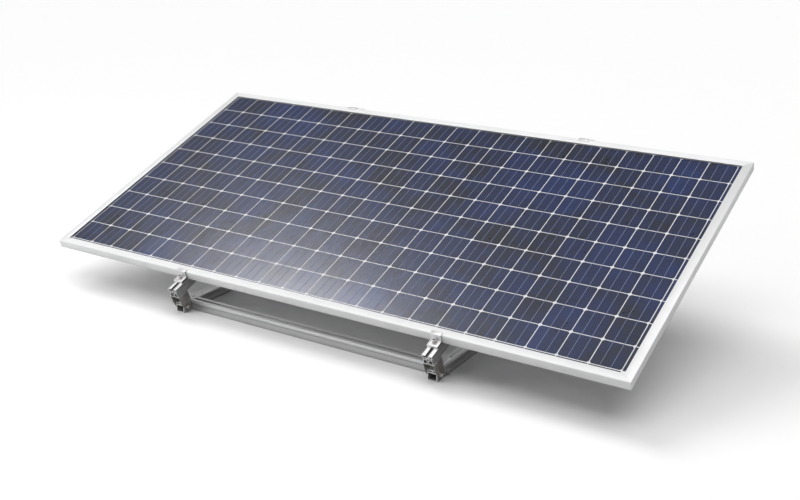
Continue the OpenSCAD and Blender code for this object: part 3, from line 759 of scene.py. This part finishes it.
def repeat(body, places):
    """One bmesh with a copy of body at each place."""
    single = bpy.data.meshes.new("single")
    body.to_mesh(single)
    body.free()
    group = bmesh.new()
    for place in places:
        before = len(group.verts)
        group.from_mesh(single)
        group.verts.ensure_lookup_table()
        bmesh.ops.transform(group, matrix=place, verts=group.verts[before:])
    bpy.data.meshes.remove(single)
    return group


print("thread helper ready")

# %% [markdown]
# ## Socket head bolts
#
# The head is a knurled cylinder with a hexagon socket. A fine bump could stand for the knurl. The
# ring has enough points to show it in the mesh: every second one on the head's side is pulled in by
# a tenth of a millimetre. The shank carries its thread only at its end.

# %% One bolt, head above Z = 0
def socket_bolt(length, thread_length):
    shank, head, height, socket, depth = 4.0 * mm, 6.5 * mm, 8.0 * mm, 3.464 * mm, 4.0 * mm
    core = shank - 0.75 * mm
    body = loft(
        [
            (core - 0.8 * mm, -length), (core, -length + 0.6 * mm), (core, -length + thread_length),
            (shank, -length + thread_length + 0.6 * mm), (shank, 0), (head - 0.3 * mm, 0),
            (head, 0.3 * mm), (head, height - 1.1 * mm), (head - 0.3 * mm, height - 0.4 * mm),
            (head - 0.9 * mm, height), (socket + 0.5 * mm, height), (socket, height - 0.35 * mm, 6),
            (socket, height - depth, 6),
        ],
        caps=(True, True),
    )
    # 1 on the points inside the socket, where the finish paints shade.
    socket_shade = body.verts.layers.float.new("socket_shade")
    for v in body.verts:
        v[socket_shade] = float(v.co.xy.length < socket + 1e-6 and v.co.z > 0)
    side = [v for v in body.verts if abs(v.co.xy.length - head) < 1e-6 and 0 < v.co.z < height]
    pull_in(body, side, 0.982, every=2, first=1)
    add_thread(body, -length + 0.3 * mm, -length + thread_length + 0.3 * mm, shank, 1.25 * mm)
    return body


sample = socket_bolt(30 * mm, 10 * mm)
print("bolt faces", len(sample.faces))
sample.free()

# %% [markdown]
# ## Where the fasteners sit
#
# Six bolts go through the brackets, four screws hold the cross rails, and four hold the clamps. The
# places could be read off the solids' boxes, but those only tell where a row of fasteners ends. A
# matrix for each place, built from the source's dimensions, also says which way its head points.

# %% Places of bolts and screws
bracket_half, bracket_reach, bracket_hole_y, bracket_t = 20.2 * mm, 53 * mm, 19 * mm, 2 * mm
washer_t, stack, nut_h = 1.6 * mm, 3.7 * mm, 6.5 * mm
hinge_setback, leg_setback, cross_setback = 13.7 * mm, 141 * mm, 59.2 * mm
clamp_foot_h, clamp_screw_y = 9.5 * mm, 14 * mm
hinge_z, head_bolt_z = 20.5 * mm, 375.8525 * mm
leg_y = base_front_y + base_len - leg_setback
hinges = [
    (base_front_y + hinge_setback, hinge_z),
    (leg_y, base_w + bracket_reach),
    (leg_y, head_bolt_z),
]
toward_right = Matrix.Rotation(math.radians(90), 4, "Y")
toward_left = Matrix.Rotation(math.radians(-90), 4, "Y")


def at_hinges(offset, turn):
    """Places at the six hinge bolts, offset along X."""
    return [
        Matrix.Translation((s * side_x + offset, y, z)) @ turn for s in sides for y, z in hinges
    ]


def at_cross(offset):
    """Places at the four cross rail screws, offset outwards."""
    reach = side_x + base_w / 2 + offset
    ys = (base_front_y + cross_setback, base_front_y + base_len - cross_setback)
    turns = {-1: toward_left, 1: toward_right}
    return [
        Matrix.Translation((s * reach, y, rail_w / 2)) @ turns[s] for s in sides for y in ys
    ]


def at_clamps(offset):
    """Places at the four clamp screws, offset off the slope."""
    ys = (-clamp_screw_y, module_d + clamp_screw_y)
    return [module @ Matrix.Translation((s * side_x, y, offset)) for s in sides for y in ys]


print("bolts at", len(at_hinges(0, toward_right)) + len(at_cross(0)) + len(at_clamps(0)), "places")

# %% All bolts
past_nut = 3 * mm
hinge_length = 2 * bracket_half + stack + washer_t + nut_h + past_nut
bolt_sets = {
    "hinge_bolts": (hinge_length, 14 * mm, at_hinges(bracket_half + stack, toward_right)),
    "cross_rail_screws": (stack + 61 * mm, 26 * mm, at_cross(stack)),
    "clamp_screws": (stack + 18.5 * mm, 12 * mm, at_clamps(clamp_foot_h + stack)),
}
for node, (length, thread_length, places) in bolt_sets.items():
    dress(repeat(socket_bolt(length, thread_length), places), f"{node}_turned", node)
print("hinge bolt length", round(hinge_length / mm, 1), "mm")

# %% [markdown]
# ## Washers
#
# Under each head lie a flat washer and a split spring washer. The flat one is a closed loft with
# small edge rounds. The split one could be a ring with a slot cut out, but its ends would be level.
# It is a rectangle spun by a little less than a full turn while it rises, which leaves the gap and
# the two offset ends.

# %% Flat and split washers
def flat_washer():
    inner, outer, thick, edge = 4.1 * mm, 8.0 * mm, washer_t, 0.2 * mm
    return loft(
        [
            (inner, 0), (outer - edge, 0), (outer, edge), (outer, thick - edge),
            (outer - edge, thick), (inner, thick),
        ],
        closed=True,
    )


def split_washer():
    inner, outer, low, high = 4.15 * mm, 7.0 * mm, washer_t, 3.45 * mm
    rise, steps = 0.24 * mm, 44
    outline = ((inner, 0, low), (outer, 0, low), (outer, 0, high), (inner, 0, high))
    body = bmesh.new()
    corners = [body.verts.new(corner) for corner in outline]
    face = body.faces.new(corners)
    bmesh.ops.spin(
        body, geom=corners + list(face.edges) + [face], cent=(0, 0, 0), axis=(0, 0, 1),
        angle=math.radians(344), dvec=(0, 0, rise / steps), steps=steps, use_merge=False,
        use_duplicate=False,
    )
    bmesh.ops.recalc_face_normals(body, faces=body.faces)
    return body


def washer_pairs(places, lone_places=()):
    """Flat and split washers at places, and flat ones alone at lone_places."""
    group = repeat(flat_washer(), list(places) + list(lone_places))
    rings = bpy.data.meshes.new("rings")
    split = repeat(split_washer(), places)
    split.to_mesh(rings)
    split.free()
    group.from_mesh(rings)
    bpy.data.meshes.remove(rings)
    return group


washer_sets = {
    "hinge_washers": (
        at_hinges(bracket_half, toward_right), at_hinges(-bracket_half, toward_left)
    ),
    "cross_rail_washers": (at_cross(0),),
    "clamp_washers": (at_clamps(clamp_foot_h),),
}
for node, places in washer_sets.items():
    dress(washer_pairs(*places), f"{node}_turned", node)
print("washers ready")

# %% [markdown]
# ## Nuts
#
# A nut's corners are cut back by a cone at both faces. A bevel of the hexagon could come near it,
# but its edges would be straight. A loft from a circle to a hexagon draws the cone's curved edge in
# one step, and the same closed loft makes the bore.

# %% Nuts of the hinge bolts
def hexagon_nut():
    flat, corner, bore = 6.5 * mm, 7.506 * mm, 4.1 * mm
    return loft(
        [
            (bore + 0.4 * mm, 0), (flat - 0.1 * mm, 0),
            (corner, 0.6 * mm, 6), (corner, nut_h - 0.6 * mm, 6),
            (flat - 0.1 * mm, nut_h), (bore + 0.4 * mm, nut_h),
            (bore, nut_h - 0.4 * mm), (bore, 0.4 * mm),
        ],
        closed=True,
    )


nuts = repeat(hexagon_nut(), at_hinges(-bracket_half - washer_t, toward_left))
dress(nuts, "hinge_nuts_turned", "hinge_nuts")
print("nuts ready")

# %% [markdown]
# ## Hexagon screws of the brackets
#
# Two short screws hold each bracket's web to its rail. They have a flange under a low hexagon. A
# washer and a plain screw could stand for them, but head and flange are forged in one piece, so one
# loft draws both. Each pair lies across the web, and the foot brackets' pairs point down.

# %% Bracket screws
def flange_screw():
    """Head below Z = 0 and shank above."""
    head_h, corner, flange, shank = 5.2 * mm, 4.619 * mm, 5.2 * mm, 2.7 * mm
    return loft(
        [
            (3.0 * mm, -head_h), (3.9 * mm, -head_h), (corner, -4.8 * mm, 6),
            (corner, -1.3 * mm, 6), (5.0 * mm, -0.9 * mm), (flange, -0.6 * mm), (flange, 0),
            (shank, 0), (shank, 12.5 * mm), (1.8 * mm, 14 * mm),
        ],
        caps=(True, True),
    )


screw_x, screw_y = 9 * mm, 28 * mm
head_bolt_y = (leg_y - rail_front.y - bracket_reach * math.sin(tilt)) / math.cos(tilt)
foot_y = leg_y - bracket_hole_y + screw_y
turn_over = Matrix.Rotation(math.radians(180), 4, "X")
screw_places = []
for s in sides:
    for x in (s * side_x - screw_x, s * side_x + screw_x):
        for y in (0, head_bolt_y - bracket_hole_y):
            screw_places.append(slope @ Matrix.Translation((x, y + screw_y, -bracket_t)))
        screw_places.append(Matrix.Translation((x, foot_y, base_w + bracket_t)) @ turn_over)
dress(repeat(flange_screw(), screw_places), "bracket_screws_turned", "bracket_screws")
print("bracket screws", len(screw_places))

# %% [markdown]
# ## Cable glands
#
# Each lead leaves the junction box through a gland: a ribbed nut that is domed at its mouth. The
# ribs could be separate bars around a cone, but they are moulded with it, so the loft's points are
# pulled in between them.

# %% Glands
def cable_gland():
    bore, outer, groove = 3 * mm, 6 * mm, 5.4 * mm
    body = loft(
        [
            (bore, 0), (outer, 0), (outer, 1.5 * mm), (groove, 2 * mm), (groove, 3 * mm),
            (outer, 3.4 * mm), (outer, 10 * mm), (5.6 * mm, 13 * mm), (4.6 * mm, 15.2 * mm),
            (3.6 * mm, 16 * mm), (bore, 15.6 * mm),
        ],
        closed=True,
    )
    ribbed = (3.2 * mm, 13.5 * mm)
    side = [
        v for v in body.verts if v.co.xy.length > 5.5 * mm and ribbed[0] < v.co.z < ribbed[1]
    ]
    pull_in(body, side, 0.93, every=4, first=0)
    return body


box_setback, box_d, sheet_bottom = 120 * mm, 74 * mm, 23.6 * mm
gland_x, gland_depth = 35 * mm, 7.5 * mm
gland_y, gland_z = module_d - box_setback - box_d, sheet_bottom - gland_depth
downhill = Matrix.Rotation(math.radians(90), 4, "X")
gland_places = [
    module @ Matrix.Translation((s * gland_x, gland_y, gland_z)) @ downhill for s in sides
]
dress(repeat(cable_gland(), gland_places), "junction_box_glands_turned", "junction_box_glands")
print("glands", len(gland_places))

# %% [markdown]
# ## The floor
#
# A wide pale sheet carries the soft shadow. A curved studio backdrop could do that too, but the
# room is white to the camera anyway, so a flat sheet has no visible end. The camera sees it as pure
# white where the light is full. Other rays see it a little greyer, so that it doesn't light the
# mount from below too much.

# %% Floor
floor_reach, below_mount = 30, 0.3 * mm
floor_mesh = bpy.data.meshes.new("floor")
sheet = bmesh.new()
bmesh.ops.create_grid(sheet, x_segments=4, y_segments=4, size=floor_reach)
bmesh.ops.translate(sheet, verts=sheet.verts, vec=(0, 0, -below_mount))
sheet.to_mesh(floor_mesh)
sheet.free()
floor = bpy.data.objects.new("floor", floor_mesh)
bpy.context.scene.collection.objects.link(floor)
paper = Finish("floor", Roughness=0.9, Specular_IOR_Level=0.0)
seen = paper.node("ShaderNodeLightPath", output=0)
paper.feed("Base Color", paper.between(seen, rgb(0.72, 0.72, 0.72), rgb(1.0, 1.0, 1.0)))
floor_mesh.materials.append(paper.material)
floor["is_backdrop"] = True
print("floor laid")

# %% [markdown]
# ## Sizes, and done
#
# The dressed model should stay in the measured box. The last line prints the box of everything
# shown, apart from the floor.

# %% The box of the dressed model
low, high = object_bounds()
print("visual box", [round(v, 4) for v in high - low])
